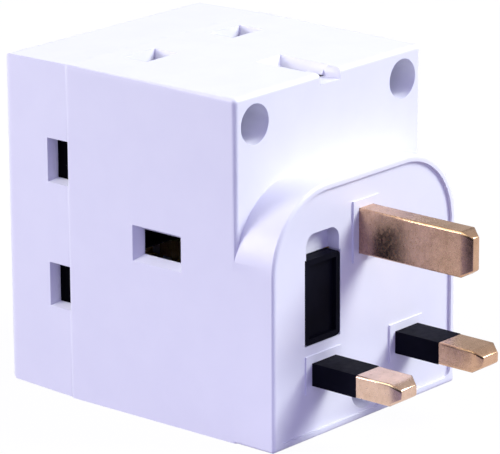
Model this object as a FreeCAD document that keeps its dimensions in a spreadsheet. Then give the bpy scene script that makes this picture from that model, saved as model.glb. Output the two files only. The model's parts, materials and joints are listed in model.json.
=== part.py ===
import FreeCAD, Part
import os
import re
import Sketcher

# Three-way plug-in socket adaptor, in millimetres.
# X runs across the plug (live pin at +X), Y points the way the pins point, Z is up.
# The origin is on the plug face, midway between the two line pins.

SIZES = {
    # Plug pins, the earth pin standing above the two line pins
    "line_pitch": 22.2,
    "earth_rise": 22.2,
    "line_pin_width": 6.35,
    "line_pin_height": 4.0,
    "line_pin_reach": 17.7,
    "earth_pin_width": 4.0,
    "earth_pin_height": 8.0,
    "earth_pin_reach": 22.7,
    "tip_length": 1.8,
    "tip_inset": 1.1,
    "pin_root": 6.5,
    "shoulder_margin": 1.2,
    "shoulder_length": 2.0,
    "sleeve_reach": 8.9,
    "sleeve_wall": 0.55,
    # Block, boss and cover
    "seam_width": 49.8,
    "side_flare": 0.5,
    "block_top": 48.2,
    "block_foot": 11.3,
    "boss_depth": 8.3,
    "boss_top": 32.6,
    "boss_corner": 14.0,
    "foot_corner": 0.5,
    "panel_corner": 1.5,
    "seam_distance": 45.6,
    "cover_depth": 15.4,
    "cover_draft": 0.45,
    "shell_wall": 1.8,
    "panel_wall": 2.45,
    "panel_recess": 0.75,
    "rim_width": 1.5,
    "collar_margin": 1.35,
    "collar_height": 0.35,
    "edge_round": 0.9,
    "boss_round": 0.8,
    "cover_round": 2.0,
    "seam_round": 0.3,
    "rim_round": 0.6,
    # Outlets
    "socket_rise": 19.5,
    "top_earth_distance": 16.5,
    "outlet_stagger": 9.1,
    "earth_slot_length": 9.0,
    "earth_slot_width": 4.5,
    "line_slot_length": 7.0,
    "line_slot_width": 4.4,
    "lead_depth": 1.7,
    "earth_lead_in": 0.9,
    "line_lead_in": 0.45,
    "notch_width": 5.4,
    "notch_depth": 1.95,
    "sill_wall": 1.2,
    # Screws and their pillars
    "screw_spread": 19.4,
    "screw_inset": 5.2,
    "low_screw_drop": 6.1,
    "recess_radius": 3.5,
    "pillar_wall": 1.1,
    "seat_wall": 2.6,
    "head_radius": 2.9,
    "head_height": 2.2,
    "shank_radius": 1.4,
    "shank_length": 12.0,
    "shank_clearance": 0.2,
    "pilot_spare": 1.0,
    "cross_length": 3.2,
    "cross_width": 0.8,
    "cross_depth": 1.2,
    # Fuse and its drawer
    "fuse_radius": 3.175,
    "fuse_length": 25.4,
    "fuse_rise": 9.5,
    "cap_length": 6.0,
    "cap_wall": 0.3,
    "fuse_play": 0.1,
    "drawer_width": 9.0,
    "drawer_foot": 5.2,
    "drawer_height": 14.8,
    "drawer_sink": 0.75,
    "drawer_plate": 2.45,
    "drawer_rim": 1.0,
    "drawer_panel_sink": 0.75,
    "drawer_fit": 0.12,
    "drawer_corner": 0.85,
    "rail_wall": 1.05,
    "rail_height": 8.2,
    "ledge_width": 1.0,
    "ledge_rise": 2.0,
    "lip_wall": 1.0,
    "lip_height": 4.9,
    "guide_wall": 1.15,
    "guide_height": 8.8,
    "finger_width": 8.6,
    "finger_height": 4.4,
    "finger_corner": 1.0,
    "finger_flat": 2.1,
    # Brass inside
    "strip_thickness": 0.5,
    "bar_thickness": 0.8,
    "earth_arm_height": 5.2,
    "clip_width": 4.0,
    "clip_end_gap": 1.0,
    "contact_slack": 0.3,
    "contact_pinch": 0.15,
    "pinch_share": 0.8,
    "line_contact_length": 11.0,
    "earth_contact_length": 10.0,
    "line_contact_width": 5.0,
    "earth_contact_width": 6.0,
    "bar_gap": 1.6,
    "tail_lap": 4.0,
    # Shutters and their springs
    "shutter_gap": 0.15,
    "shutter_plate": 1.0,
    "shutter_lap": 0.5,
    "shutter_end_lap": 0.3,
    "shutter_travel": 5.4,
    "stem_width": 4.0,
    "leg_width": 3.4,
    "leg_thickness": 1.6,
    "leg_gap": 0.7,
    "ramp_start": 7.4,
    "ramp_drop": 5.5,
    "ramp_foot": 0.8,
    "tab_height": 3.0,
    "spring_radius": 1.3,
    "spring_wire": 0.2,
    "spring_turns": 5.0,
    "stop_width": 6.0,
    "stop_reach": 2.0,
    "stop_wall": 1.2,
}

# Formulas that several pieces share, written with the size names above.
HALF_PITCH = "(line_pitch / 2)"
OUTLET_LEVEL = "(seam_width / 2 - side_flare)"
INNER_HALF = f"({OUTLET_LEVEL} - shell_wall)"
INNER_TOP = "(block_top - shell_wall)"
INNER_FOOT = "(shell_wall - block_foot)"
FRONT_INSIDE = "(seam_distance + cover_depth - shell_wall)"
PANEL_BACK = "(panel_recess + panel_wall)"
SIDE_EARTH = "(top_earth_distance + outlet_stagger)"
SIDE_SPREAD = f"(side_flare * ({SIDE_EARTH} - boss_depth) / (seam_distance - boss_depth))"
SIDE_FACE = f"({OUTLET_LEVEL} + {SIDE_SPREAD})"
SIDE_LINE = f"({SIDE_EARTH} + earth_rise)"
TOP_LINE = "(top_earth_distance + earth_rise)"
SEAT = "(seam_distance - seat_wall)"
PILLAR = "(recess_radius + pillar_wall)"
DRAWER_BACK = "(drawer_sink + drawer_plate)"
FUSE_FRONT = f"({DRAWER_BACK} + fuse_play)"
FUSE_BACK = f"({FUSE_FRONT} + fuse_length)"
LINE_BASE = "(line_pin_reach + contact_slack)"
EARTH_BASE = f"({OUTLET_LEVEL} - bar_thickness / 2 - strip_thickness)"
LEAF_HALF = "(line_pin_height / 2 + strip_thickness)"
LIVE_BAR_REAR = f"({TOP_LINE} + {LEAF_HALF})"
NEUTRAL_BAR_REAR = f"({SIDE_LINE} + {LEAF_HALF} + bar_gap)"
SHUTTER_EDGE = "(line_slot_width / 2 + shutter_lap)"
SPRING_DROP = "(shell_wall + shutter_gap + shutter_plate + spring_radius + spring_wire)"
SPRING_SPACE = f"({FRONT_INSIDE} - {SIDE_LINE} - {SHUTTER_EDGE})"
BAR_TOP = f"(block_top - {LINE_BASE} + line_contact_length / 2)"
EARTH_LEAD_ANGLE = "atan(earth_lead_in / lead_depth)"
LINE_LEAD_ANGLE = "atan(line_lead_in / lead_depth)"
SCREWS = [
    ("screw_spread", "(block_top - screw_inset)"),
    ("-screw_spread", "(block_top - screw_inset)"),
    ("0", "-low_screw_drop"),
]

SPRING_CHORDS = 12

doc = FreeCAD.newDocument("multi_socket_adapter")
sheet = doc.addObject("Spreadsheet::Sheet", "Sizes")
for row, (size_name, size_value) in enumerate(SIZES.items(), 1):
    sheet.set(f"A{row}", size_name)
    sheet.set(f"B{row}", str(size_value))
    sheet.setAlias(f"B{row}", size_name)
doc.recompute()

PLANE_AXIS = {"XY_Plane": ("Z", 1), "XZ_Plane": ("Y", -1), "YZ_Plane": ("X", 1)}


def bound(formula):
    """The sheet expression for a formula written with plain size names."""
    return re.sub(r"[a-z_]+", lambda word: f"Sizes.{word[0]}" if word[0] in SIZES else word[0], formula)


def number(formula):
    """The value of a formula at the sheet's present sizes."""
    return float(sheet.evalExpression(bound(formula)))


def new_body(name):
    body = doc.addObject("PartDesign::Body", name)
    body.Label = name
    return body


def new_sketch(body, name, plane, level="0"):
    """A sketch parallel to an origin plane, at a level along that plane's world axis."""
    sketch = body.newObject("Sketcher::SketchObject", f"{body.Name}_{name}")
    origin_plane = next(item for item in body.Origin.OriginFeatures if item.Role == plane)
    sketch.AttachmentSupport = [(origin_plane, "")]
    sketch.MapMode = "FlatFace"
    sign = "" if PLANE_AXIS[plane][1] > 0 else "-"
    sketch.setExpression("AttachmentOffset.Base.z", bound(f"{sign}({level})"))
    return sketch


def set_datum(sketch, constraint, formula):
    index = sketch.addConstraint(constraint)
    sketch.setExpression(f"Constraints[{index}]", bound(formula))


def place_point(sketch, geometry, end, point):
    """Tie one end of a line, or a centre, to the sketch origin by two formulas."""
    for kind, formula in zip(("DistanceX", "DistanceY"), point):
        constraint = Sketcher.Constraint(kind, -1, 1, geometry, end, number(formula))
        set_datum(sketch, constraint, formula)


def outline(sketch, corners):
    """A closed outline of straight lines through corners given as formulas."""
    points = [FreeCAD.Vector(number(across), number(up), 0) for across, up in corners]
    first = sketch.GeometryCount
    for index, point in enumerate(points):
        sketch.addGeometry(Part.LineSegment(point, points[(index + 1) % len(points)]))
    for index, corner in enumerate(corners):
        following = first + (index + 1) % len(corners)
        sketch.addConstraint(Sketcher.Constraint("Coincident", first + index, 2, following, 1))
        place_point(sketch, first + index, 1, corner)


def rectangle(sketch, left, right, low, high):
    outline(sketch, [(left, low), (right, low), (right, high), (left, high)])


def centred(sketch, centre, width, height):
    """A rectangle about a centre."""
    across, up = centre
    rectangle(sketch, f"{across} - ({width}) / 2", f"{across} + ({width}) / 2",
              f"{up} - ({height}) / 2", f"{up} + ({height}) / 2")


def rounded(sketch, sides, low_corner, high_corner):
    """A rectangle with one radius at its two lower and another at its two upper corners."""
    left, right, low, high = sides
    corners = [
        (f"{right} - {low_corner}", f"{low} + {low_corner}", low_corner, -90),
        (f"{right} - {high_corner}", f"{high} - {high_corner}", high_corner, 0),
        (f"{left} + {high_corner}", f"{high} - {high_corner}", high_corner, 90),
        (f"{left} + {low_corner}", f"{low} + {low_corner}", low_corner, 180),
    ]
    first = sketch.GeometryCount
    normal = FreeCAD.Vector(0, 0, 1)
    arcs = []
    for across, up, radius, start in corners:
        centre = FreeCAD.Vector(number(across), number(up), 0)
        circle = Part.Circle(centre, normal, number(radius))
        angles = [FreeCAD.Units.Quantity(f"{angle} deg").getValueAs("rad").Value
                  for angle in (start, start + 90)]
        arcs.append(Part.ArcOfCircle(circle, *angles))
        sketch.addGeometry(arcs[-1])
    for index, arc in enumerate(arcs):
        line = Part.LineSegment(arc.EndPoint, arcs[(index + 1) % 4].StartPoint)
        sketch.addGeometry(line)
    for index, (across, up, radius, _) in enumerate(corners):
        arc = first + index
        line = first + 4 + index
        place_point(sketch, arc, 3, (across, up))
        set_datum(sketch, Sketcher.Constraint("Radius", arc, number(radius)), radius)
        sketch.addConstraint(Sketcher.Constraint("Tangent", arc, 2, line, 1))
        sketch.addConstraint(Sketcher.Constraint("Tangent", line, 2, first + (index + 1) % 4, 1))


def circle(sketch, centre, radius):
    middle = FreeCAD.Vector(number(centre[0]), number(centre[1]), 0)
    index = sketch.addGeometry(Part.Circle(middle, FreeCAD.Vector(0, 0, 1), number(radius)))
    place_point(sketch, index, 3, centre)
    set_datum(sketch, Sketcher.Constraint("Radius", index, number(radius)), radius)


def extrude(body, sketch, length, towards, taper=None):
    """Pad a sketch towards +X, -Y and so on, or both ways about it for "both"."""
    feature = body.newObject("PartDesign::Pad", f"{sketch.Name}_pad")
    feature.Profile = sketch
    finish_extrusion(feature, sketch, length, towards, 1, taper)
    return feature


def cut(body, sketch, length, towards, taper=None):
    """Pocket a sketch in a world direction, and make sure that it removed something."""
    before = body.Shape.Volume
    feature = body.newObject("PartDesign::Pocket", f"{sketch.Name}_cut")
    feature.Profile = sketch
    finish_extrusion(feature, sketch, length, towards, -1, taper)
    if body.Shape.Volume >= before:
        raise RuntimeError(f"{feature.Name} removes nothing")
    return feature


def finish_extrusion(feature, sketch, length, towards, default_sign, taper):
    axis, normal = PLANE_AXIS[sketch.AttachmentSupport[0][0].Role]
    feature.setExpression("Length", bound(length))
    if towards == "both":
        feature.Midplane = True
    elif towards[1] == axis:
        feature.Reversed = (1 if towards[0] == "+" else -1) != normal * default_sign
    else:
        raise ValueError(f"{sketch.Name} cannot be extruded towards {towards}")
    if taper:
        feature.setExpression("TaperAngle", bound(taper))
    doc.recompute()


def round_edges(body, name, radius, wanted):
    """Fillet the edges of the body that a test of the edge picks out."""
    base = body.Tip
    names = [f"Edge{index}" for index, edge in enumerate(base.Shape.Edges, 1) if wanted(edge)]
    if not names:
        raise RuntimeError(f"{body.Name}: no edges for {name}")
    feature = body.newObject("PartDesign::Fillet", f"{body.Name}_{name}")
    feature.Base = (base, names)
    feature.setExpression("Radius", bound(radius))
    doc.recompute()
    return feature


def lies_at(edge, **levels):
    """Whether a whole edge lies at the given levels, such as y=-8.3."""
    box = edge.BoundBox
    for axis, level in levels.items():
        low, high = getattr(box, f"{axis.upper()}Min"), getattr(box, f"{axis.upper()}Max")
        if abs(low - level) > 0.01 or abs(high - level) > 0.01:
            return False
    return True


def boss_sides(inset):
    """Left, right, low and high side of the plug boss, drawn in by an inset."""
    return (f"-{OUTLET_LEVEL} + {inset}", f"{OUTLET_LEVEL} - {inset}",
            f"-block_foot + {inset}", f"boss_top - {inset}")


def pin_sections():
    """Centre, width and height of the three pins, live first."""
    return [
        ((HALF_PITCH, "0"), "line_pin_width", "line_pin_height"),
        ((f"-{HALF_PITCH}", "0"), "line_pin_width", "line_pin_height"),
        (("0", "earth_rise"), "earth_pin_width", "earth_pin_height"),
    ]


def block(body):
    """The outer block, wider at the seam, with the plug boss on its rear wall."""
    plan = new_sketch(body, "plan", "XY_Plane", "-block_foot")
    outline(plan, [("-seam_width / 2", "-seam_distance"), ("seam_width / 2", "-seam_distance"),
                   (OUTLET_LEVEL, "-boss_depth"), (f"-{OUTLET_LEVEL}", "-boss_depth")])
    extrude(body, plan, "block_top + block_foot", "+Z")
    wall = number("-boss_depth")
    top = number("block_top")
    seam = number("-seam_distance")

    def is_outer_edge(edge):
        at_seam = abs(edge.BoundBox.YMin - seam) < 0.01 and lies_at(edge, y=seam)
        on_top = lies_at(edge, z=top)
        upright = lies_at(edge, y=wall) and edge.BoundBox.ZLength > 1
        return not at_seam and (on_top or upright)

    round_edges(body, "block_edges", "edge_round", is_outer_edge)
    round_edges(body, "rim_edges", "rim_round", lambda edge: lies_at(edge, y=seam))
    face = new_sketch(body, "boss", "XZ_Plane", "-boss_depth - shell_wall")
    rounded(face, boss_sides("0"), "foot_corner", "boss_corner")
    extrude(body, face, "boss_depth + shell_wall", "+Y")


def boss_edges(body):
    """Round the boss's front edge, then sink the plug panel inside a raised rim."""
    round_edges(body, "boss_front", "boss_round", lambda edge: lies_at(edge, y=0))
    panel = new_sketch(body, "panel", "XZ_Plane", "0")
    rounded(panel, boss_sides("rim_width"), "panel_corner", "(boss_corner - rim_width)")
    cut(body, panel, "panel_recess", "-Y")
    collars = new_sketch(body, "collars", "XZ_Plane", "-panel_recess")
    for centre, width, height in pin_sections():
        centred(collars, centre, f"{width} + 2 * collar_margin", f"{height} + 2 * collar_margin")
    extrude(body, collars, "collar_height", "+Y")


def hollow(body):
    """The space inside the block and the boss."""
    inside = new_sketch(body, "inside", "XZ_Plane", "-seam_distance")
    rectangle(inside, f"-{INNER_HALF}", INNER_HALF, INNER_FOOT, INNER_TOP)
    cut(body, inside, "seam_distance - boss_depth - shell_wall", "+Y")
    inside_boss = new_sketch(body, "inside_boss", "XZ_Plane", "-boss_depth - shell_wall")
    rounded(inside_boss, boss_sides("shell_wall"), "panel_corner", "(boss_corner - shell_wall)")
    cut(body, inside_boss, f"boss_depth + shell_wall - {PANEL_BACK}", "+Y")


def pillars(body):
    """Three screw pillars from the rear wall and the plug panel to the seam."""
    for index, (centre, start) in enumerate(zip(SCREWS, ("boss_depth", "boss_depth", "panel_recess"))):
        pillar = new_sketch(body, f"pillar_{index}", "XZ_Plane", "-seam_distance")
        circle(pillar, centre, PILLAR)
        extrude(body, pillar, f"seam_distance - {start} - shell_wall / 2", "+Y")
        recess = new_sketch(body, f"recess_{index}", "XZ_Plane", f"-{SEAT}")
        circle(recess, centre, "recess_radius")
        cut(body, recess, f"{SEAT} - {start}", "+Y")
        hole = new_sketch(body, f"screw_hole_{index}", "XZ_Plane", "-seam_distance")
        circle(hole, centre, "shank_radius + shank_clearance")
        cut(body, hole, "seat_wall", "+Y")


def drawer_opening(body):
    """The fuse drawer's opening, its two inner guides and the finger recess above it."""
    guides = new_sketch(body, "guides", "XZ_Plane", f"-{PANEL_BACK}")
    inner = "(drawer_width / 2 + drawer_fit)"
    outer = f"({inner} + guide_wall)"
    low = "(drawer_foot - drawer_fit)"
    rectangle(guides, f"{HALF_PITCH} - {outer}", f"{HALF_PITCH} - {inner}", low, f"{low} + guide_height")
    rectangle(guides, f"{HALF_PITCH} + {inner}", f"{HALF_PITCH} + {outer}", low, f"{low} + guide_height")
    extrude(body, guides, f"{FUSE_BACK} + lip_wall - {PANEL_BACK}", "-Y")
    opening = new_sketch(body, "drawer_opening", "XZ_Plane", "0")
    rectangle(opening, f"{HALF_PITCH} - {inner}", f"{HALF_PITCH} + {inner}",
              low, "drawer_foot + drawer_height + drawer_fit")
    cut(body, opening, PANEL_BACK, "-Y")
    finger = new_sketch(body, "finger_recess", "XZ_Plane", "0")
    foot = "(drawer_foot + drawer_height)"
    rounded(finger, (f"{HALF_PITCH} - finger_width / 2", f"{HALF_PITCH} + finger_width / 2",
                     f"{foot} - finger_height", f"{foot} + finger_height"),
            "finger_corner", "(finger_width / 2 - finger_flat)")
    cut(body, finger, PANEL_BACK, "-Y")
    pad = new_sketch(body, "finger_pad", "XZ_Plane", f"-{PANEL_BACK}")
    half = "(finger_width / 2 + sill_wall)"
    rectangle(pad, f"{HALF_PITCH} - {half}", f"{HALF_PITCH} + {half}",
              f"{foot} + drawer_fit", f"{foot} + finger_height + sill_wall")
    extrude(body, pad, "sill_wall", "-Y")


def pin_holes(body):
    holes = new_sketch(body, "pin_holes", "XZ_Plane", "0")
    for centre, width, height in pin_sections():
        centred(holes, centre, width, height)
    cut(body, holes, PANEL_BACK, "-Y")


def lead_in(body, sketch, towards, angle):
    """Widen a slot outwards from a sketch that lies a lead's depth below the face."""
    cut(body, sketch, "2 * lead_depth", towards, angle)


def earth_slots(body):
    """Earth slots with lead-ins in both sides and the top, and the notch in the rear wall."""
    depth = f"{SIDE_FACE} - {INNER_HALF} + shell_wall"
    for name, towards in (("right", "+X"), ("left", "-X")):
        sign = "" if name == "right" else "-"
        slot = new_sketch(body, f"earth_slot_{name}", "YZ_Plane", f"{sign}{INNER_HALF}")
        centre = (f"-{SIDE_EARTH}", "socket_rise")
        centred(slot, centre, "earth_slot_length", "earth_slot_width")
        cut(body, slot, depth, towards)
        slope = new_sketch(body, f"earth_lead_{name}", "YZ_Plane", f"{sign}({SIDE_FACE} - lead_depth)")
        centred(slope, centre, "earth_slot_length", "earth_slot_width")
        lead_in(body, slope, towards, EARTH_LEAD_ANGLE)
    sill = new_sketch(body, "sill", "XZ_Plane", "-boss_depth - shell_wall / 2")
    rectangle(sill, "-notch_width / 2 - sill_wall", "notch_width / 2 + sill_wall",
              "block_top - notch_depth - sill_wall", f"{INNER_TOP} + shell_wall / 2")
    extrude(body, sill, "top_earth_distance - earth_slot_length / 2 - boss_depth - shell_wall / 2", "-Y")
    top_centre = ("0", "-top_earth_distance")
    slot = new_sketch(body, "earth_slot_top", "XY_Plane", INNER_TOP)
    centred(slot, top_centre, "earth_slot_width", "earth_slot_length")
    cut(body, slot, "2 * shell_wall", "+Z")
    slope = new_sketch(body, "earth_lead_top", "XY_Plane", "block_top - lead_depth")
    centred(slope, top_centre, "earth_slot_width", "earth_slot_length")
    lead_in(body, slope, "+Z", EARTH_LEAD_ANGLE)
    notch = new_sketch(body, "notch", "XY_Plane", "block_top - notch_depth")
    rectangle(notch, "-notch_width / 2", "notch_width / 2",
              "-top_earth_distance + earth_slot_length / 2", "0")
    cut(body, notch, "2 * notch_depth", "+Z")


def top_line_slots(body):
    slots = new_sketch(body, "line_slots_top", "XY_Plane", INNER_TOP)
    slopes = new_sketch(body, "line_leads_top", "XY_Plane", "block_top - lead_depth")
    for sign in ("", "-"):
        for sketch in (slots, slopes):
            centred(sketch, (f"{sign}{HALF_PITCH}", f"-{TOP_LINE}"), "line_slot_length", "line_slot_width")
    cut(body, slots, "2 * shell_wall", "+Z")
    lead_in(body, slopes, "+Z", LINE_LEAD_ANGLE)


def main_housing():
    body = new_body("main_housing")
    block(body)
    boss_edges(body)
    hollow(body)
    pillars(body)
    drawer_opening(body)
    pin_holes(body)
    earth_slots(body)
    top_line_slots(body)
    return body


def front_cover():
    """The cover over the front, with the side outlets' line slots in its rear edge."""
    body = new_body("front_cover")
    shell = new_sketch(body, "shell", "XY_Plane", "-block_foot")
    front_y = "(-seam_distance - cover_depth)"
    outline(shell, [("-seam_width / 2 + cover_draft", front_y), ("seam_width / 2 - cover_draft", front_y),
                    ("seam_width / 2", "-seam_distance"), ("-seam_width / 2", "-seam_distance")])
    extrude(body, shell, "block_top + block_foot", "+Z")
    slopes = new_sketch(body, "slopes", "YZ_Plane")
    for level, inward in (("block_top", "-"), ("-block_foot", "+")):
        outline(slopes, [("-seam_distance", level), (front_y, level),
                         (front_y, f"{level} {inward} cover_draft")])
    cut(body, slopes, "2 * seam_width", "both")
    front = number(front_y)
    seam = number("-seam_distance")
    round_edges(body, "front_edges", "cover_round", lambda edge: lies_at(edge, y=front))
    round_edges(body, "rear_edges", "seam_round", lambda edge: lies_at(edge, y=seam))
    inside = new_sketch(body, "inside", "XZ_Plane", "-seam_distance")
    rectangle(inside, f"-{INNER_HALF}", INNER_HALF, INNER_FOOT, INNER_TOP)
    cut(body, inside, "cover_depth - shell_wall", "-Y")
    towers = new_sketch(body, "towers", "XZ_Plane", "-seam_distance")
    for centre in SCREWS:
        circle(towers, centre, "recess_radius")
    extrude(body, towers, "cover_depth - shell_wall / 2", "-Y")
    pilots = new_sketch(body, "pilots", "XZ_Plane", "-seam_distance")
    for centre in SCREWS:
        circle(pilots, centre, "shank_radius")
    cut(body, pilots, "shank_length - seat_wall + pilot_spare", "-Y")
    for name, towards in (("right", "+X"), ("left", "-X")):
        sign = "" if name == "right" else "-"
        slots = new_sketch(body, f"line_slots_{name}", "YZ_Plane", f"{sign}{INNER_HALF}")
        slopes = new_sketch(body, f"line_leads_{name}", "YZ_Plane", f"{sign}(seam_width / 2 - lead_depth)")
        for side in ("-", "+"):
            middle = f"(socket_rise {side} {HALF_PITCH})"
            for sketch in (slots, slopes):
                rectangle(sketch, f"-{SIDE_LINE} - line_slot_width / 2", "-seam_distance + shell_wall",
                          f"{middle} - line_slot_length / 2", f"{middle} + line_slot_length / 2")
        cut(body, slots, f"seam_width / 2 - {INNER_HALF} + shell_wall", towards)
        lead_in(body, slopes, towards, LINE_LEAD_ANGLE)
    stop = new_sketch(body, "spring_stop", "XZ_Plane",
                      f"-{TOP_LINE} - {SHUTTER_EDGE} - {SPRING_SPACE}")
    rectangle(stop, "-stop_width / 2", "stop_width / 2",
              f"block_top - {SPRING_DROP} - stop_reach", "block_top - shell_wall / 2")
    extrude(body, stop, "stop_wall", "-Y")
    return body


def pin(name, section, reach, sleeved):
    """A plug pin with a shoulder behind the panel, a tapered tip and a thin root for a sleeve."""
    centre, width, height = section
    body = new_body(name)
    root = new_sketch(body, "root", "XZ_Plane", "-pin_root")
    thinner = " - 2 * sleeve_wall" if sleeved else ""
    centred(root, centre, f"{width}{thinner}", f"{height}{thinner}")
    extrude(body, root, f"pin_root + {reach} - tip_length", "+Y")
    shoulder = new_sketch(body, "shoulder", "XZ_Plane", f"-{PANEL_BACK}")
    centred(shoulder, centre, f"{width} + 2 * shoulder_margin", f"{height} + 2 * shoulder_margin")
    extrude(body, shoulder, "shoulder_length", "-Y")
    if sleeved:
        shank = new_sketch(body, "shank", "XZ_Plane", "sleeve_reach")
        centred(shank, centre, width, height)
        extrude(body, shank, f"{reach} - tip_length - sleeve_reach", "+Y")
    base = new_sketch(body, "tip_base", "XZ_Plane", f"{reach} - tip_length")
    centred(base, centre, width, height)
    end = new_sketch(body, "tip_end", "XZ_Plane", reach)
    centred(end, centre, f"{width} - 2 * tip_inset", f"{height} - 2 * tip_inset")
    tip = body.newObject("PartDesign::AdditiveLoft", f"{name}_tip")
    tip.Profile = base
    tip.Sections = [end]
    tip.Ruled = True
    doc.recompute()
    return body


def sleeve(name, section):
    """The insulating sleeve round a line pin's root, flush with the pin."""
    centre, width, height = section
    body = new_body(name)
    ring = new_sketch(body, "ring", "XZ_Plane", f"-{PANEL_BACK}")
    centred(ring, centre, width, height)
    centred(ring, centre, f"{width} - 2 * sleeve_wall", f"{height} - 2 * sleeve_wall")
    extrude(body, ring, f"{PANEL_BACK} + sleeve_reach", "+Y")
    return body


def screws():
    body = new_body("screws")
    heads = new_sketch(body, "heads", "XZ_Plane", f"-{SEAT}")
    for centre in SCREWS:
        circle(heads, centre, "head_radius")
    extrude(body, heads, "head_height", "+Y")
    shanks = new_sketch(body, "shanks", "XZ_Plane", f"-{SEAT}")
    for centre in SCREWS:
        circle(shanks, centre, "shank_radius")
    extrude(body, shanks, "shank_length", "-Y")
    crosses = new_sketch(body, "crosses", "XZ_Plane", f"-{SEAT} + head_height")
    for across, up in SCREWS:
        long, short = "cross_length / 2", "cross_width / 2"
        reach = [(long, short), (short, short), (short, long)]
        corners = []
        for side, rise in ((1, 1), (-1, 1), (-1, -1), (1, -1)):
            quarter = reach if side * rise > 0 else reach[::-1]
            for x, z in quarter:
                corners.append((f"{across} {'+' if side > 0 else '-'} {x}",
                                f"{up} {'+' if rise > 0 else '-'} {z}"))
        outline(crosses, corners)
    cut(body, crosses, "cross_depth", "-Y")
    return body


def fuse_carrier():
    """The drawer: a front with a raised rim, two rails with ledges and a rear lip."""
    body = new_body("fuse_carrier")
    left = f"({HALF_PITCH} - drawer_width / 2)"
    right = f"({HALF_PITCH} + drawer_width / 2)"
    plate = new_sketch(body, "plate", "XZ_Plane", f"-{DRAWER_BACK}")
    rounded(plate, (left, right, "drawer_foot", "drawer_foot + drawer_height"),
            "drawer_corner", "drawer_corner")
    extrude(body, plate, "drawer_plate", "+Y")
    panel = new_sketch(body, "sunken_panel", "XZ_Plane", "-drawer_sink")
    rectangle(panel, f"{left} + drawer_rim", f"{right} - drawer_rim",
              "drawer_foot + drawer_rim", "drawer_foot + drawer_height - drawer_rim")
    cut(body, panel, "drawer_panel_sink", "-Y")
    low = "drawer_foot"
    rails = new_sketch(body, "rails", "XZ_Plane", f"-{DRAWER_BACK}")
    rectangle(rails, left, f"{left} + rail_wall", low, f"{low} + rail_height")
    rectangle(rails, f"{right} - rail_wall", right, low, f"{low} + rail_height")
    extrude(body, rails, f"{FUSE_BACK} + fuse_play + lip_wall - {DRAWER_BACK}", "-Y")
    ledges = new_sketch(body, "ledges", "XZ_Plane", f"-{DRAWER_BACK}")
    rectangle(ledges, f"{left} + rail_wall / 2", f"{left} + rail_wall + ledge_width",
              low, f"{low} + ledge_rise")
    rectangle(ledges, f"{right} - rail_wall - ledge_width", f"{right} - rail_wall / 2",
              low, f"{low} + ledge_rise")
    extrude(body, ledges, f"{FUSE_BACK} + fuse_play + lip_wall - {DRAWER_BACK}", "-Y")
    lip = new_sketch(body, "lip", "XZ_Plane", f"-{FUSE_BACK} - fuse_play")
    rectangle(lip, f"{left} + rail_wall / 2", f"{right} - rail_wall / 2",
              f"{low} + rail_height - lip_height", f"{low} + rail_height")
    extrude(body, lip, "lip_wall", "-Y")
    return body


def fuse_tube():
    body = new_body("fuse_tube")
    centre = (HALF_PITCH, "fuse_rise")
    middle = new_sketch(body, "middle", "XZ_Plane", f"-{FUSE_FRONT} - cap_wall")
    circle(middle, centre, "fuse_radius - cap_wall")
    extrude(body, middle, "fuse_length - 2 * cap_wall", "-Y")
    return body


def fuse_caps():
    """Both end caps of the fuse, each a cup over the end of the tube."""
    body = new_body("fuse_caps")
    centre = (HALF_PITCH, "fuse_rise")
    for name, level, towards in (("front", f"-{FUSE_FRONT}", "-Y"), ("rear", f"-{FUSE_BACK}", "+Y")):
        end = new_sketch(body, f"{name}_end", "XZ_Plane", level)
        circle(end, centre, "fuse_radius")
        extrude(body, end, "cap_length", towards)
    bore = new_sketch(body, "bore", "XZ_Plane", f"-{FUSE_FRONT} - cap_wall")
    circle(bore, centre, "fuse_radius - cap_wall")
    cut(body, bore, "fuse_length - 2 * cap_wall", "-Y")
    return body


def fuse_clip_front():
    """The strip from the live pin's root up to the underside of the fuse's front cap."""
    body = new_body("fuse_clip_front")
    profile = new_sketch(body, "profile", "YZ_Plane", HALF_PITCH)
    touch = "(fuse_rise - fuse_radius - fuse_play)"
    outline(profile, [
        ("-pin_root", "-line_pin_height / 2"),
        ("-pin_root", f"{touch} - strip_thickness"),
        (f"-{FUSE_FRONT} - clip_end_gap", f"{touch} - strip_thickness"),
        (f"-{FUSE_FRONT} - clip_end_gap", touch),
        ("-pin_root - strip_thickness", touch),
        ("-pin_root - strip_thickness", "-line_pin_height / 2"),
    ])
    extrude(body, profile, "clip_width", "both")
    return body


def fuse_clip_rear():
    """The strip from under the fuse's rear cap back to the live bar."""
    body = new_body("fuse_clip_rear")
    profile = new_sketch(body, "profile", "YZ_Plane", HALF_PITCH)
    touch = "(fuse_rise - fuse_radius - fuse_play)"
    rectangle(profile, f"-{LIVE_BAR_REAR}", f"-{FUSE_BACK} + cap_length - clip_end_gap",
              f"{touch} - strip_thickness", touch)
    extrude(body, profile, "clip_width", "both")
    return body


def plate(body, name, plane, level, sides, thickness, towards):
    """One flat arm of a bar; a bar's arms lie in the same body and join where they meet."""
    face = new_sketch(body, name, plane, level)
    rectangle(face, *sides)
    extrude(body, face, thickness, towards)


def earth_bar():
    """The upright plate between the three earth contacts and its arm to the earth pin's root."""
    body = new_body("earth_bar")
    top = f"(block_top - {EARTH_BASE} - strip_thickness)"
    side_half = "(earth_pin_width / 2 + strip_thickness)"
    foot = f"min(socket_rise - {side_half}; {top} - earth_arm_height)"
    front = f"-{SIDE_EARTH} - earth_contact_width / 2"
    rear = f"-{SIDE_EARTH} + earth_contact_width / 2"
    behind_wall = "-boss_depth - shell_wall - bar_gap"
    for name, sides in (
        ("front_plate", (front, rear, foot, f"socket_rise + {side_half}")),
        ("middle_plate", (front, behind_wall, foot, top)),
        ("pin_arm", (behind_wall, "-pin_root", foot, "earth_rise")),
    ):
        plate(body, name, "YZ_Plane", "0", sides, "bar_thickness", "both")
    return body


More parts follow.
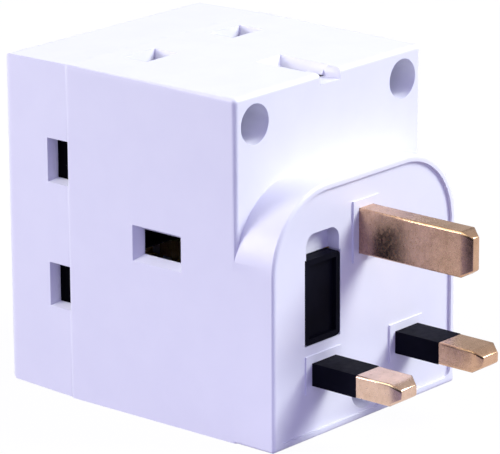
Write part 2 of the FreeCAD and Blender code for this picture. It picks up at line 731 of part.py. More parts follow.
def line_bar(name, level, sign, arms):
    """An upright plate on the live or neutral side with arms across to the side outlets."""
    body = new_body(name)
    half = "line_contact_width / 2"
    edge = f"{HALF_PITCH} - {half}"
    outer = f"{HALF_PITCH} + {half}"
    top = f"max({BAR_TOP}; socket_rise + {HALF_PITCH} + {half})"
    foot = f"socket_rise - {HALF_PITCH} - {half}"
    if sign == "-":
        edge, outer = f"-({outer})", f"-({edge})"
    plate(body, "upright", "XZ_Plane", level, (edge, outer, foot, top), "bar_thickness", "-Y")
    for arm, middle, inner, outer_end in arms:
        plate(body, arm, "XZ_Plane", level, (inner, outer_end, f"{middle} - {half}", f"{middle} + {half}"),
              "bar_thickness", "-Y")
    return body


def side_base():
    """How far the backs of the side outlets' line contacts stand from the middle."""
    return f"({OUTLET_LEVEL} - {LINE_BASE} - strip_thickness)"


def live_bar():
    """The plate that links the fuse to the three live contacts."""
    low = f"socket_rise - {HALF_PITCH}"
    high = f"socket_rise + {HALF_PITCH}"
    return line_bar("live_bar", f"-{LIVE_BAR_REAR}", "", [
        ("lower_arm", low, side_base(), HALF_PITCH),
        ("upper_arm", high, f"-{side_base()} - strip_thickness", HALF_PITCH),
    ])


def neutral_bar():
    """The plate that links the three neutral contacts, and its run back to the neutral pin."""
    low = f"socket_rise - {HALF_PITCH}"
    high = f"socket_rise + {HALF_PITCH}"
    body = line_bar("neutral_bar", f"-{NEUTRAL_BAR_REAR}", "-", [
        ("lower_arm", low, f"-{HALF_PITCH}", f"-{side_base()}"),
        ("upper_arm", high, f"-{HALF_PITCH}", f"{side_base()} + tail_lap"),
    ])
    rear = f"-{NEUTRAL_BAR_REAR} - bar_thickness"
    half = "bar_thickness / 2"
    centre = f"-{HALF_PITCH}"
    plate(body, "top_arm", "YZ_Plane", centre,
          (rear, f"-{LIVE_BAR_REAR}", f"{BAR_TOP} - bar_thickness", BAR_TOP), "clip_width", "both")
    plate(body, "foot_arm", "YZ_Plane", centre,
          (rear, "-pin_root", f"-{half}", half), "clip_width", "both")
    plate(body, "foot_riser", "XZ_Plane", f"-{NEUTRAL_BAR_REAR}",
          (f"{centre} - clip_width / 2", f"{centre} + clip_width / 2", f"-{half}", high),
          "bar_thickness", "-Y")
    return body


# The three outlets share one local frame: x towards the live slot, y towards the earth slot
# and z out of the face, with z = 0 one shell wall outside the inner wall surface.
OUTLETS = {
    "right": (90, (OUTLET_LEVEL, f"-{SIDE_LINE}", "socket_rise")),
    "left": (-90, (f"-{OUTLET_LEVEL}", f"-{SIDE_LINE}", "socket_rise")),
    "top": (0, ("0", f"-{TOP_LINE}", "block_top")),
}


def seat_in_outlet(body, outlet):
    """Turn a piece about the Y axis and move it to its outlet's place."""
    turn, place = OUTLETS[outlet]
    body.Placement = FreeCAD.Placement(FreeCAD.Vector(), FreeCAD.Rotation(FreeCAD.Vector(0, 1, 0), turn))
    for axis, formula in zip("xyz", place):
        body.setExpression(f"Placement.Base.{axis}", bound(formula))
    return body


def spring_leaves(thickness_half, base, length):
    """Half outline of a U contact, from the base's middle out and up one leaf."""
    return [
        ("0", f"-{base}"),
        (thickness_half, f"-{base}"),
        (f"{thickness_half} - contact_pinch", f"-{base} + pinch_share * {length}"),
        (f"{thickness_half} + contact_pinch", f"-{base} + {length}"),
        (f"{thickness_half} + contact_pinch + strip_thickness", f"-{base} + {length}"),
        (f"{thickness_half} - contact_pinch + strip_thickness", f"-{base} + pinch_share * {length}"),
        (f"{thickness_half} + strip_thickness", f"-{base} - strip_thickness"),
    ]


def u_contact(sketch, middle, thickness_half, base, length):
    half = spring_leaves(thickness_half, base, length)
    right = [(f"{middle} + ({across})", up) for across, up in half[1:]]
    left = [(f"{middle} - ({across})", up) for across, up in reversed(half[1:])]
    outline(sketch, right + left)


def earth_contact(outlet):
    """A U of brass strip that grips the earth pin's two wide faces."""
    body = new_body(f"earth_contact_{outlet}")
    profile = new_sketch(body, "profile", "XZ_Plane", "earth_rise")
    u_contact(profile, "0", "(earth_pin_width / 2)", EARTH_BASE, "earth_contact_length")
    extrude(body, profile, "earth_contact_width", "both")
    return seat_in_outlet(body, outlet)


def line_contact(kind, outlet):
    """A U of brass strip that grips a line pin, with a tail to its bar on the side outlets."""
    body = new_body(f"{kind}_contact_{outlet}")
    across = HALF_PITCH if kind == "live" else f"-{HALF_PITCH}"
    profile = new_sketch(body, "profile", "YZ_Plane", across)
    u_contact(profile, "0", "(line_pin_height / 2)", LINE_BASE, "line_contact_length")
    extrude(body, profile, "line_contact_width", "both")
    if outlet != "top":
        tail = new_sketch(body, "tail", "YZ_Plane", across)
        if kind == "live":
            reach = f"({SIDE_LINE} - {LIVE_BAR_REAR} - bar_thickness)"
        else:
            reach = f"({SIDE_LINE} - {NEUTRAL_BAR_REAR})"
        rectangle(tail, "0", reach, f"-{LINE_BASE} - strip_thickness", f"-{LINE_BASE}")
        extrude(body, tail, "line_contact_width", "both")
    return seat_in_outlet(body, outlet)


def shutter(outlet):
    """A plate over both line slots, with a stem and a ramp that the earth pin pushes."""
    body = new_body(f"shutter_{outlet}")
    top = "-(shell_wall + shutter_gap)"
    plate = new_sketch(body, "plate", "XY_Plane", top)
    half = f"({HALF_PITCH} + line_slot_length / 2 + shutter_end_lap)"
    stem_end = "(earth_rise - earth_slot_length / 2 - leg_gap)"
    outline(plate, [
        (f"-{half}", f"-{SHUTTER_EDGE}"), (half, f"-{SHUTTER_EDGE}"),
        (half, SHUTTER_EDGE), ("stem_width / 2", SHUTTER_EDGE),
        ("stem_width / 2", stem_end), ("-stem_width / 2", stem_end),
        ("-stem_width / 2", SHUTTER_EDGE), (f"-{half}", SHUTTER_EDGE),
    ])
    extrude(body, plate, "shutter_plate", "-Z")
    low = "(-(shell_wall + shutter_gap) - ramp_start)"
    reach = "(earth_rise - earth_pin_height / 2 + shutter_travel)"
    ramp = new_sketch(body, "ramp", "YZ_Plane")
    outline(ramp, [
        (f"{stem_end} - leg_thickness", f"{top} - shutter_plate / 2"),
        (stem_end, f"{top} - shutter_plate / 2"),
        (stem_end, low),
        (reach, f"{low} - ramp_drop"),
        (reach, f"{low} - ramp_drop - ramp_foot"),
        (f"{stem_end} - leg_thickness", f"{low} - ramp_drop - ramp_foot"),
    ])
    extrude(body, ramp, "leg_width", "both")
    tab = new_sketch(body, "spring_tab", "YZ_Plane")
    rectangle(tab, f"-{SHUTTER_EDGE}", f"-{SHUTTER_EDGE} + shutter_plate",
              f"{top} - shutter_plate - tab_height", f"{top} - shutter_plate / 2")
    extrude(body, tab, "stem_width", "both")
    return seat_in_outlet(body, outlet)


def spring(outlet):
    """The coil that pushes a shutter shut, in wire of square section along short chords."""
    size = {name: sheet.get(name) for name in ("spring_radius", "spring_wire", "spring_turns")}
    height = number(SPRING_SPACE) - 2 * size["spring_wire"]
    middle = FreeCAD.Vector(0, number(f"-{SHUTTER_EDGE} - spring_wire"), number(f"-{SPRING_DROP}"))
    chords = round(SPRING_CHORDS * size["spring_turns"])
    points = []
    for index in range(chords + 1):
        turned = FreeCAD.Rotation(FreeCAD.Vector(0, 1, 0), index * 360 / SPRING_CHORDS)
        out = turned.multVec(FreeCAD.Vector(0, 0, size["spring_radius"]))
        points.append(middle + out - FreeCAD.Vector(0, height * index / chords, 0))
    wire = size["spring_wire"]
    corners = [points[0] + FreeCAD.Vector(0, along, up)
               for along, up in ((-wire, -wire), (wire, -wire), (wire, wire), (-wire, wire))]
    section = Part.makePolygon(corners + corners[:1])
    right_corner = 1
    coil = doc.addObject("Part::Feature", f"spring_{outlet}")
    coil.Label = coil.Name
    coil.Shape = Part.makePolygon(points).makePipeShell([section], True, False, right_corner)
    return seat_in_outlet(coil, outlet)


def build():
    live, neutral, earth = pin_sections()
    pieces = [
        main_housing(),
        front_cover(),
        pin("live_pin", live, "line_pin_reach", True),
        pin("neutral_pin", neutral, "line_pin_reach", True),
        pin("earth_pin", earth, "earth_pin_reach", False),
        sleeve("live_sleeve", live),
        sleeve("neutral_sleeve", neutral),
        screws(),
        fuse_carrier(),
        fuse_tube(),
        fuse_caps(),
        fuse_clip_front(),
        fuse_clip_rear(),
        earth_bar(),
        live_bar(),
        neutral_bar(),
    ]
    for outlet in OUTLETS:
        pieces.append(earth_contact(outlet))
        pieces.append(line_contact("live", outlet))
        pieces.append(line_contact("neutral", outlet))
        pieces.append(shutter(outlet))
        pieces.append(spring(outlet))
    return pieces


def write_out(pieces):
    """Check every object and every sub-part, then write one file for each sub-part."""
    doc.recompute()
    for item in doc.Objects:
        if "Invalid" in item.State or "Error" in item.State:
            raise RuntimeError(f"{item.Name} failed: {item.State}")
    for piece in pieces:
        if piece.Shape.isNull() or not piece.Shape.isValid() or piece.Shape.Volume <= 0:
            raise RuntimeError(f"{piece.Label} has no valid shape")
    os.makedirs("parts", exist_ok=True)
    for piece in pieces:
        piece.Shape.exportStep(f"parts/{piece.Label}.step")


write_out(build())
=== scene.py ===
import json
import math

import bmesh
import bpy
from mathutils import Matrix, Vector


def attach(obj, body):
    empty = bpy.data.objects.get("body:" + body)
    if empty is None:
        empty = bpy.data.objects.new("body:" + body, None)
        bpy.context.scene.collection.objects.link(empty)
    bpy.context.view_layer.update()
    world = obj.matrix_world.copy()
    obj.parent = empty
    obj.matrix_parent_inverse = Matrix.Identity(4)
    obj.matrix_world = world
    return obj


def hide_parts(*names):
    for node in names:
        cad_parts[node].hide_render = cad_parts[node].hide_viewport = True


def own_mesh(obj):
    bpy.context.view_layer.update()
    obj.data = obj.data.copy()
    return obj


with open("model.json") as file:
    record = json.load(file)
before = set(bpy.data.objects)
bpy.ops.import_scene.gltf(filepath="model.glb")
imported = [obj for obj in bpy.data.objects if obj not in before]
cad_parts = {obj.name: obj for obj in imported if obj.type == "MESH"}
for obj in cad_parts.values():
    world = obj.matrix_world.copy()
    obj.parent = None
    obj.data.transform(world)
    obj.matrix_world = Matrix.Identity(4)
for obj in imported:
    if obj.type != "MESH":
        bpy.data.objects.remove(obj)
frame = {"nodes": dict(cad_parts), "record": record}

# A three-way plug-in socket adaptor, in the frame of the CAD model: metres, +Z up, the pins
# point along +Y, and the origin is on the plug face between the line pins.

MM = 0.001
FLOOR_LEVEL = -11.3 * MM
CENTRE = Vector((0, -26 * MM, 18 * MM))

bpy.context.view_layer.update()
BODY_OF = {node: body
           for body, nodes in frame["record"]["behaviour"]["bodies"].items()
           for node in nodes}


# Shader nodes

def add_node(tree, kind, inputs=None, **settings):
    """A shader node with its settings, and its inputs given values or linked to sockets."""
    item = tree.nodes.new(kind)
    for name, value in settings.items():
        setattr(item, name, value)
    for socket, value in (inputs or {}).items():
        if isinstance(value, bpy.types.NodeSocket):
            tree.links.new(value, item.inputs[socket])
        else:
            item.inputs[socket].default_value = value
    return item


def new_material(name):
    material = bpy.data.materials.new(name)
    material.use_nodes = True
    return material, material.node_tree, material.node_tree.nodes["Principled BSDF"]


def object_place(tree, stretch=None):
    """Object coordinates, squeezed along an axis where a pattern runs along it."""
    place = add_node(tree, "ShaderNodeTexCoord").outputs["Object"]
    if stretch is None:
        return place
    inputs = {"Vector": place, "Scale": stretch}
    return add_node(tree, "ShaderNodeMapping", inputs).outputs["Vector"]


def noise(tree, place, scale, detail, roughness=0.5):
    inputs = {"Vector": place, "Scale": scale, "Detail": detail, "Roughness": roughness}
    return add_node(tree, "ShaderNodeTexNoise", inputs).outputs["Fac"]


def remap(tree, value, low, high, to_low, to_high):
    inputs = {"Value": value, "From Min": low, "From Max": high,
              "To Min": to_low, "To Max": to_high}
    return add_node(tree, "ShaderNodeMapRange", inputs).outputs["Result"]


def calculate(tree, operation, first, second):
    inputs = {0: first, 1: second}
    return add_node(tree, "ShaderNodeMath", inputs, operation=operation).outputs[0]


def reach_along(tree, place, direction):
    """How far a place or a direction lies along another direction."""
    inputs = {0: place, 1: direction}
    item = add_node(tree, "ShaderNodeVectorMath", inputs, operation="DOT_PRODUCT")
    return item.outputs["Value"]


def blend_colours(tree, share, first, second):
    item = add_node(tree, "ShaderNodeMix", data_type="RGBA")
    tree.links.new(share, item.inputs["Factor"])
    for socket, colour in (("A", first), ("B", second)):
        target = next(s for s in item.inputs if s.name == socket and s.type == "RGBA")
        if isinstance(colour, bpy.types.NodeSocket):
            tree.links.new(colour, target)
        else:
            target.default_value = (*colour, 1)
    return next(s for s in item.outputs if s.type == "RGBA")


def blend_shaders(tree, share, first, second):
    inputs = {0: share, 1: first.outputs[0], 2: second.outputs[0]}
    return add_node(tree, "ShaderNodeMixShader", inputs)


def bump(tree, height, strength, distance, base=None):
    inputs = {"Height": height, "Strength": strength, "Distance": distance}
    if base is not None:
        inputs["Normal"] = base
    return add_node(tree, "ShaderNodeBump", inputs).outputs["Normal"]


# Materials. A noise's scale is in cycles per metre, and a bump's distance in metres.

GRAIN_DEPTH = 0.01 * MM
MOULDED_WAVE_DEPTH = 0.05 * MM
MOULDED_WAVE = 0.3
PIN_WAVE_DEPTH = 0.03 * MM
PIN_WAVE = 0.06
PIN_GRAIN = 0.05
ROLLED_GRAIN = 0.2
SPECK_SHARE = 0.45
SPECK_SHADE = 0.35


def moulded_plastic(name, colour, shade, roughness, grain, specular=0.5):
    """Moulded plastic: a faint mottle, a fine eroded grain and the slight waviness of a wall."""
    material, tree, shader = new_material(name)
    shader.inputs["Specular IOR Level"].default_value = specular
    place = object_place(tree)
    mottle = remap(tree, noise(tree, place, scale=160, detail=4), 0.35, 0.65, 0, 1)
    tree.links.new(blend_colours(tree, mottle, colour, shade), shader.inputs["Base Color"])
    rough = noise(tree, place, scale=900, detail=5, roughness=0.6)
    tree.links.new(remap(tree, rough, 0.3, 0.7, *roughness), shader.inputs["Roughness"])
    wave = bump(tree, noise(tree, place, scale=70, detail=1), MOULDED_WAVE, MOULDED_WAVE_DEPTH)
    fine = bump(tree, noise(tree, place, scale=5200, detail=2), grain, GRAIN_DEPTH, wave)
    tree.links.new(fine, shader.inputs["Normal"])
    return material


def pin_metal(name, colour, tarnish, roughness, stained):
    """Brass bar: a fine mottle, warm stains and small dark specks."""
    material, tree, shader = new_material(name)
    shader.inputs["Metallic"].default_value = 1.0
    place = object_place(tree)
    stain = noise(tree, place, scale=420, detail=5, roughness=0.62)
    toned = blend_colours(tree, remap(tree, stain, 0.42, 0.72, 0, stained), colour, tarnish)
    speck = remap(tree, noise(tree, place, scale=3300, detail=2), 0.64, 0.74, 0, SPECK_SHARE)
    dark = tuple(SPECK_SHADE * part for part in tarnish)
    tree.links.new(blend_colours(tree, speck, toned, dark), shader.inputs["Base Color"])
    rough = noise(tree, place, scale=1500, detail=4, roughness=0.6)
    tree.links.new(remap(tree, rough, 0.3, 0.7, *roughness), shader.inputs["Roughness"])
    lines = noise(tree, object_place(tree, (1, 0.5, 1)), scale=4200, detail=3, roughness=0.6)
    grain = bump(tree, lines, PIN_GRAIN, GRAIN_DEPTH)
    wave = bump(tree, noise(tree, place, scale=420, detail=2), PIN_WAVE, PIN_WAVE_DEPTH, grain)
    tree.links.new(wave, shader.inputs["Normal"])
    return material


def plain_metal(name, colour, worn, roughness, stretch=None):
    """Strip, wire or plated metal with rolling lines and a slight change of tone."""
    material, tree, shader = new_material(name)
    shader.inputs["Metallic"].default_value = 1.0
    tone = noise(tree, object_place(tree), scale=500, detail=4)
    toned = blend_colours(tree, remap(tree, tone, 0.35, 0.7, 0, 1), colour, worn)
    tree.links.new(toned, shader.inputs["Base Color"])
    lines = noise(tree, object_place(tree, stretch), scale=3600, detail=3, roughness=0.6)
    tree.links.new(remap(tree, lines, 0.3, 0.7, *roughness), shader.inputs["Roughness"])
    tree.links.new(bump(tree, lines, ROLLED_GRAIN, GRAIN_DEPTH), shader.inputs["Normal"])
    return material


def glazed_ceramic(name, colour, shade, roughness, coat):
    """The fuse's body: off-white glaze with pores and a slightly uneven tone."""
    material, tree, shader = new_material(name)
    shader.inputs["Coat Weight"].default_value = coat
    place = object_place(tree)
    tone = remap(tree, noise(tree, place, scale=700, detail=4), 0.35, 0.65, 0, 1)
    tree.links.new(blend_colours(tree, tone, colour, shade), shader.inputs["Base Color"])
    pores = noise(tree, place, scale=6000, detail=2)
    tree.links.new(remap(tree, pores, 0.3, 0.7, *roughness), shader.inputs["Roughness"])
    tree.links.new(bump(tree, pores, ROLLED_GRAIN, GRAIN_DEPTH), shader.inputs["Normal"])
    return material


# Each finish: its recipe, its two colours and its lowest and highest roughness, then the rest
RECIPES = {
    "white_moulding": (moulded_plastic, (0.81, 0.805, 0.895), (0.795, 0.79, 0.885),
                       (0.36, 0.46), {"grain": 0.12}),
    "black_moulding": (moulded_plastic, (0.0038, 0.0038, 0.0078), (0.006, 0.006, 0.012),
                       (0.42, 0.54), {"grain": 0.25, "specular": 0.02}),
    "dark_moulding": (moulded_plastic, (0.002, 0.002, 0.003), (0.004, 0.004, 0.005),
                      (0.5, 0.62), {"grain": 0.3, "specular": 0.004}),
    "pin_brass": (pin_metal, (0.765, 0.54, 0.425), (0.52, 0.35, 0.25),
                  (0.18, 0.30), {"stained": 0.5}),
    "worn_brass": (pin_metal, (0.66, 0.415, 0.28), (0.43, 0.26, 0.16),
                   (0.20, 0.32), {"stained": 0.6}),
    "contact_brass": (plain_metal, (0.76, 0.58, 0.33), (0.62, 0.44, 0.22),
                      (0.22, 0.4), {"stretch": (0.2, 1, 0.2)}),
    "spring_steel": (plain_metal, (0.55, 0.55, 0.57), (0.42, 0.42, 0.44), (0.2, 0.35), {}),
    "screw_steel": (plain_metal, (0.62, 0.61, 0.57), (0.5, 0.48, 0.42), (0.25, 0.42), {}),
    "cap_nickel": (plain_metal, (0.68, 0.66, 0.62), (0.55, 0.53, 0.49), (0.12, 0.25), {}),
    "ceramic": (glazed_ceramic, (0.80, 0.78, 0.72), (0.74, 0.71, 0.64),
                (0.28, 0.42), {"coat": 0.3}),
}
FINISHES = {name: recipe(name, colour, second, roughness, **rest)
            for name, (recipe, colour, second, roughness, rest) in RECIPES.items()}
SLOT_OF = {item["node"]: item["material_slot"] for item in frame["record"]["subparts"]}
FINISH_OF = dict(SLOT_OF, neutral_pin="worn_brass", earth_pin="worn_brass")


# Pieces

SHARP_ANGLE = 32
FLAT_ANGLE = 0.6
WELD_REACH = 0.001 * MM
NORMAL_WEIGHT = 60


def ride_as(piece, node):
    """Let a piece move with a node's body and stand for that node, which is hidden."""
    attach(piece, BODY_OF[node])
    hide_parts(node)


def finish_mesh(piece, node, widest=0, segments=1):
    """Round the weighted edges of a piece and keep its flat faces flat in the shading."""
    piece.data.materials.clear()
    piece.data.materials.append(FINISHES[FINISH_OF[node]])
    piece.data.polygons.foreach_set("use_smooth", [True] * len(piece.data.polygons))
    if widest:
        soften = piece.modifiers.new("edges", "BEVEL")
        soften.width = widest
        soften.segments = segments
        soften.limit_method = "WEIGHT"
        soften.use_clamp_overlap = True
        soften.harden_normals = False
    weigh = piece.modifiers.new("normals", "WEIGHTED_NORMAL")
    weigh.keep_sharp = True
    weigh.weight = NORMAL_WEIGHT


def new_object(name, work):
    """A scene object from a finished bmesh, which is freed."""
    mesh = bpy.data.meshes.new(name)
    work.to_mesh(mesh)
    work.free()
    item = bpy.data.objects.new(name, mesh)
    bpy.context.scene.collection.objects.link(item)
    return item


# The dressed copies of the solids, in mm. Levels and distances run from the plug face.

SMALL_ROUND = 0.16
PANEL_ROUND = 0.28
SEAM_EDGE = 0.03
PIN_ROUND = 0.2
TIP_ROUND = 0.65
TIP_RUN = 0.3
LEVEL_REACH = 0.02
UPRIGHT = 0.01

PANEL_DEPTH = 0.75
COLLAR_DEPTH = 0.4
RIM_DROP = 0.22
RIM_TRIM = 0.3
WALL_START = 0.1
COLLARS_HALF = 15
COLLARS_FOOT = -8
COLLARS_TOP = 29

SEAM_DISTANCE = 45.6
COVER_LENGTH = 15.4
SEAM_REACH = 0.65
SEAM_STEP = 0.12
SEAM_FALL = 0.2
OUTER_FACES = ((0, 24.9), (0, -24.9), (2, 48.2), (2, -11.3))


def is_sharp(edge):
    return len(edge.link_faces) == 2 and edge.calc_face_angle() > math.radians(SHARP_ANGLE)


def lies_at(edge, distance):
    """Whether an edge lies at a distance in front of the plug face."""
    return all(abs(vert.co.y + distance * MM) < LEVEL_REACH * MM for vert in edge.verts)


def seam_round(edge):
    """Edge radii beside the seam: sharp at the seam, small elsewhere."""
    return SEAM_EDGE if lies_at(edge, SEAM_DISTANCE) else SMALL_ROUND


def housing_round(edge):
    """Edge radii of the housing: wider on the rim round the panel and on the pins' collars."""
    if any(lies_at(edge, distance) for distance in (RIM_DROP, PANEL_DEPTH, COLLAR_DEPTH)):
        return PANEL_ROUND
    return seam_round(edge)


def pin_round(edge):
    """Edge radii of a pin: wide at the tip's four corners, small along the pin."""
    run = edge.verts[1].co - edge.verts[0].co
    slanted = all(abs(part) > TIP_RUN * MM for part in run)
    return TIP_ROUND if slanted else PIN_ROUND


def trim_rim(work):
    """Lower the rim round the plug's panel a little and trim it from inside."""
    outward = {}
    for face in work.faces:
        depths = [-vert.co.y / MM for vert in face.verts]
        is_wall = min(depths) < WALL_START and max(depths) < PANEL_DEPTH + LEVEL_REACH
        if is_wall and abs(face.normal.y) < UPRIGHT:
            for vert in face.verts:
                outward[vert.index] = outward.get(vert.index, Vector()) - face.normal
    for vert in work.verts:
        if vert.index in outward:
            vert.co += outward[vert.index].normalized() * RIM_TRIM * MM
        near_pins = abs(vert.co.x) < COLLARS_HALF * MM
        on_collar = near_pins and COLLARS_FOOT * MM < vert.co.z < COLLARS_TOP * MM
        if vert.co.y > -(PANEL_DEPTH - LEVEL_REACH) * MM and not on_collar:
            vert.co.y *= (PANEL_DEPTH - RIM_DROP) / PANEL_DEPTH
            vert.co.y -= RIM_DROP * MM


def close_seam(work):
    """Flatten the housing's round at the seam, where it is a light line."""
    for vert in work.verts:
        if abs(vert.co.y + SEAM_DISTANCE * MM) > SEAM_REACH * MM:
            continue
        for axis, level in OUTER_FACES:
            depth = level * MM - vert.co[axis]
            if abs(depth) < SEAM_REACH * MM:
                vert.co[axis] = level * MM - depth * SEAM_FALL


def shape_housing(work):
    trim_rim(work)
    close_seam(work)


def taper_cover(work):
    """Let the cover's outer faces fall a little towards the seam, under the housing's edge."""
    for vert in work.verts:
        ahead = -vert.co.y / MM - SEAM_DISTANCE
        inset = SEAM_STEP * (1 - ahead / COVER_LENGTH)
        reach = SEAM_REACH if ahead < SEAM_REACH else LEVEL_REACH
        for axis, level in OUTER_FACES:
            if abs(level - vert.co[axis] / MM) < reach:
                vert.co[axis] = (level - math.copysign(inset, level)) * MM


def dress(node, edge_round, segments, reshape=None):
    """A welded copy of a CAD solid, with its edge radii in mm, that stands for the solid."""
    work = bmesh.new()
    work.from_mesh(frame["nodes"][node].data)
    bmesh.ops.remove_doubles(work, verts=work.verts, dist=WELD_REACH)
    bmesh.ops.dissolve_limit(work, angle_limit=math.radians(FLAT_ANGLE),
                             verts=work.verts, edges=work.edges)
    work.normal_update()
    if reshape:
        work.verts.index_update()
        reshape(work)
        work.normal_update()
    radius_of = edge_round if callable(edge_round) else lambda edge: edge_round
    radii = [radius_of(edge) if is_sharp(edge) else 0 for edge in work.edges]
    widest = max(radii)
    weights = work.edges.layers.float.new("bevel_weight_edge")
    for edge, width in zip(work.edges, radii):
        edge.smooth = True
        edge[weights] = width / widest
    piece = new_object(f"dressed_{node}", work)
    finish_mesh(piece, node, widest * MM, segments)
    ride_as(piece, node)


# Each dressed solid: its edge radius in mm or the rule for it, its segments and its changes
DRESSED = {
    "main_housing": (housing_round, 3, shape_housing),
    "front_cover": (seam_round, 2, taper_cover),
    "fuse_carrier": (0.16, 2),
    "live_pin": (pin_round, 4),
    "neutral_pin": (pin_round, 4),
    "earth_pin": (pin_round, 4),
    "live_sleeve": (0.14, 2),
    "neutral_sleeve": (0.14, 2),
    "screws": (0.12, 2),
    "fuse_tube": (0.1, 1),
    "fuse_caps": (0.25, 3),
    "shutter_right": (0.12, 1),
    "shutter_left": (0.12, 1),
    "shutter_top": (0.12, 1),
}
for dressed_node, settings in DRESSED.items():
    dress(dressed_node, *settings)


# Springs: round wire on the measure of the square CAD coils, from their shutters to their fixed
# ends

COIL_RADIUS = 1.3
COIL_WIRE = 0.2
COIL_TURNS = 5
COIL_STEPS = 20
WIRE_SIDES = 8


def coil(node, middle, rear, front):
    """A coil round a line along Y, from its moving rear end to its fixed front end, in mm."""
    work = bmesh.new()
    rings = []
    count = COIL_TURNS * COIL_STEPS
    length = rear - front - 2 * COIL_WIRE
    for index in range(count + 1):
        angle = 2 * math.pi * index / COIL_STEPS
        out = Vector((math.sin(angle), 0, math.cos(angle)))
        along = rear - COIL_WIRE - length * index / count
        centre = Vector((middle[0], along, middle[1])) + out * COIL_RADIUS
        ring = []
        for corner in range(WIRE_SIDES):
            turn = 2 * math.pi * corner / WIRE_SIDES
            offset = out * math.cos(turn) + Vector((0, 1, 0)) * math.sin(turn)
            ring.append(work.verts.new((centre + offset * COIL_WIRE) * MM))
        rings.append(ring)
    for first, second in zip(rings, rings[1:]):
        for corner in range(WIRE_SIDES):
            after = (corner + 1) % WIRE_SIDES
            work.faces.new((first[corner], first[after], second[after], second[corner]))
    work.faces.new(rings[0][::-1])
    work.faces.new(rings[-1])
    bmesh.ops.recalc_face_normals(work, faces=work.faces)
    piece = new_object(f"coil_{node}", work)
    finish_mesh(piece, node)
    ride_as(piece, node)
    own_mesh(piece)


COILS = {
    "spring_right": ((19.95, 19.5), -50.5, -59.2),
    "spring_left": ((-19.95, 19.5), -50.5, -59.2),
    "spring_top": ((0, 43.75), -41.4, -50.1),
}

for node_name, node_object in frame["nodes"].items():
    if node_name in COILS:
        coil(node_name, *COILS[node_name])
    elif node_name not in DRESSED:
        node_object.data.materials.clear()
        node_object.data.materials.append(FINISHES[FINISH_OF[node_name]])


# Floor, light and camera

FLOOR_HALF = 2.5
FLOOR_GAP = 0.02 * MM
FLOOR_GLOW = 1.08
GLOW_SHARE = 0.9
CAMERA_SIDE = (0.70, 0.71, 0)
# The side, near the camera's, where mirrors see a painted dark reflection
PAINTED_DARK_REFLECTION_SIDE = Vector((0.74, 0.63, 0.24)).normalized()
WHITE = (1, 1, 1, 1)
LAMP_DISTANCE = 1.4


def floor_material():
    """A floor that glows white to the camera, with painted reflections: a white glow in mirrors
    near the part and a painted dark zone beyond.
    """
    material = bpy.data.materials.new("pale_floor")
    material.use_nodes = True
    tree = material.node_tree
    tree.nodes.clear()
    place = object_place(tree)
    towards_camera = reach_along(tree, place, CAMERA_SIDE)
    # Painted dark zone: some way out on the camera side the floor's colour turns near black, so
    # mirrors see a dark reflection there.
    painted_dark_zone = remap(tree, towards_camera, 0.075, 0.11, 0, 1)
    # Painted reflection: mirrors see the white glow only out to this distance on the camera side.
    unseen = remap(tree, towards_camera, 0.031, 0.043, 0, 1)
    tone = remap(tree, noise(tree, place, scale=6, detail=3), 0.3, 0.7, 0, 1)
    pale = blend_colours(tree, tone, (0.29, 0.27, 0.40), (0.27, 0.25, 0.38))
    # The floor's diffuse colour, with the painted dark zone blended in.
    shade = blend_colours(tree, painted_dark_zone, pale, (0.03, 0.03, 0.04))
    diffuse = add_node(tree, "ShaderNodeBsdfDiffuse", {"Color": shade})
    glow = add_node(tree, "ShaderNodeEmission", {"Color": WHITE, "Strength": FLOOR_GLOW})
    rays = add_node(tree, "ShaderNodeLightPath").outputs
    mirrored = calculate(tree, "MAXIMUM", rays["Is Glossy Ray"], rays["Is Transmission Ray"])
    near = calculate(tree, "SUBTRACT", 1.0, unseen)
    mirrored_near = calculate(tree, "MULTIPLY", mirrored, near)
    seen = calculate(tree, "MAXIMUM", rays["Is Camera Ray"], mirrored_near)
    share = calculate(tree, "MULTIPLY", seen, GLOW_SHARE)
    both = blend_shaders(tree, share, diffuse, glow)
    add_node(tree, "ShaderNodeOutputMaterial", {"Surface": both.outputs[0]})
    return material


def make_floor():
    work = bmesh.new()
    work.faces.new([work.verts.new((x * FLOOR_HALF, y * FLOOR_HALF, FLOOR_LEVEL - FLOOR_GAP))
                    for x, y in ((-1, -1), (1, -1), (1, 1), (-1, 1))])
    floor = new_object("floor", work)
    floor.data.materials.append(floor_material())


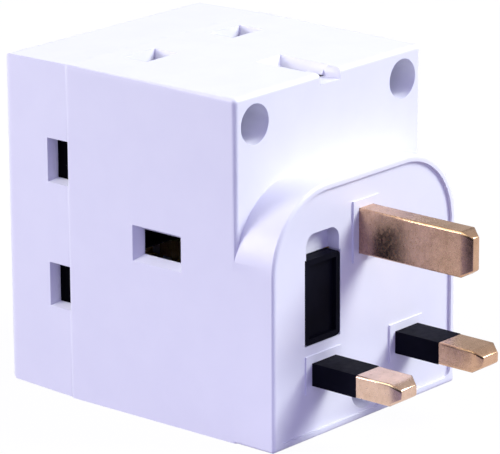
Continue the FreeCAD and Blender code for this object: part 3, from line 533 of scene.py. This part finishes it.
def make_world():
    """White for the camera; a pale lilac room for light, brightest towards the camera side; for
    mirrors a painted reflection, white and turning dark towards the camera side.
    """
    world = bpy.data.worlds.new("studio")
    bpy.context.scene.world = world
    world.use_nodes = True
    tree = world.node_tree
    tree.nodes.clear()
    direction = add_node(tree, "ShaderNodeTexCoord").outputs["Generated"]
    camera_side_reach = reach_along(tree, direction, PAINTED_DARK_REFLECTION_SIDE)
    rays = add_node(tree, "ShaderNodeLightPath").outputs
    # Painted reflection: glossy rays see the camera side dark, though that side lights the part
    # most brightly.
    mirrored = remap(tree, camera_side_reach, 0.45, 0.8, 0.6, 0.04)
    lit = remap(tree, camera_side_reach, 0.35, 0.85, 0.25, 0.95)
    levels = {0: rays["Is Glossy Ray"], 2: lit, 3: mirrored}
    strength = add_node(tree, "ShaderNodeMix", levels).outputs[0]
    # Painted reflection colour: glossy rays see white where the light is lilac.
    colour = blend_colours(tree, rays["Is Glossy Ray"], (0.57, 0.53, 1.0), (1.0, 1.0, 1.0))
    room = add_node(tree, "ShaderNodeBackground", {"Color": colour, "Strength": strength})
    white = add_node(tree, "ShaderNodeBackground", {"Color": WHITE, "Strength": 1.0})
    both = blend_shaders(tree, rays["Is Camera Ray"], room, white)
    add_node(tree, "ShaderNodeOutputWorld", {"Surface": both.outputs[0]})


def softbox(name, direction, size, energy, colour):
    """A square area lamp that faces the part from a direction."""
    lamp = bpy.data.lights.new(name, "AREA")
    lamp.shape = "SQUARE"
    lamp.size = size
    lamp.energy = energy
    lamp.color = colour
    item = bpy.data.objects.new(name, lamp)
    bpy.context.scene.collection.objects.link(item)
    item.location = CENTRE + Vector(direction).normalized() * LAMP_DISTANCE
    item.rotation_euler = (CENTRE - item.location).to_track_quat("-Z", "Y").to_euler()


def make_camera():
    """A long lens that looks at the plug face from the live pin's side, a little from above."""
    camera = bpy.data.cameras.new("photo_view")
    camera.lens = 264.73
    camera.sensor_fit = "HORIZONTAL"
    camera.sensor_width = 36
    camera.shift_x = -0.0331
    camera.shift_y = -0.0118
    camera.clip_start = 0.01
    camera.clip_end = 20
    item = bpy.data.objects.new("photo_view", camera)
    bpy.context.scene.collection.objects.link(item)
    right = Vector((-0.64916, 0.76064, -0.0038)).normalized()
    back = Vector((0.72803, 0.62276, 0.28661)).normalized()
    up = back.cross(right).normalized()
    right = up.cross(back).normalized()
    turn = Matrix((right, up, back)).transposed().to_4x4()
    standpoint = Vector((459.693, 370.764, 200.244)) * MM
    item.matrix_world = Matrix.Translation(standpoint) @ turn
    bpy.context.scene.camera = item


make_floor()
make_world()
softbox("left_softbox", (0.72, -0.65, 0.30), 0.52, 13.3, (0.88, 0.87, 0.90))
softbox("right_softbox", (-0.58, 0.66, 0.66), 0.66, 24.3, (0.95, 1.0, 0.95))
softbox("top_softbox", (0.5, -0.3, 0.9), 0.8, 5.5, (0.95, 1.0, 0.75))
make_camera()
bpy.context.scene.view_settings.view_transform = "Standard"
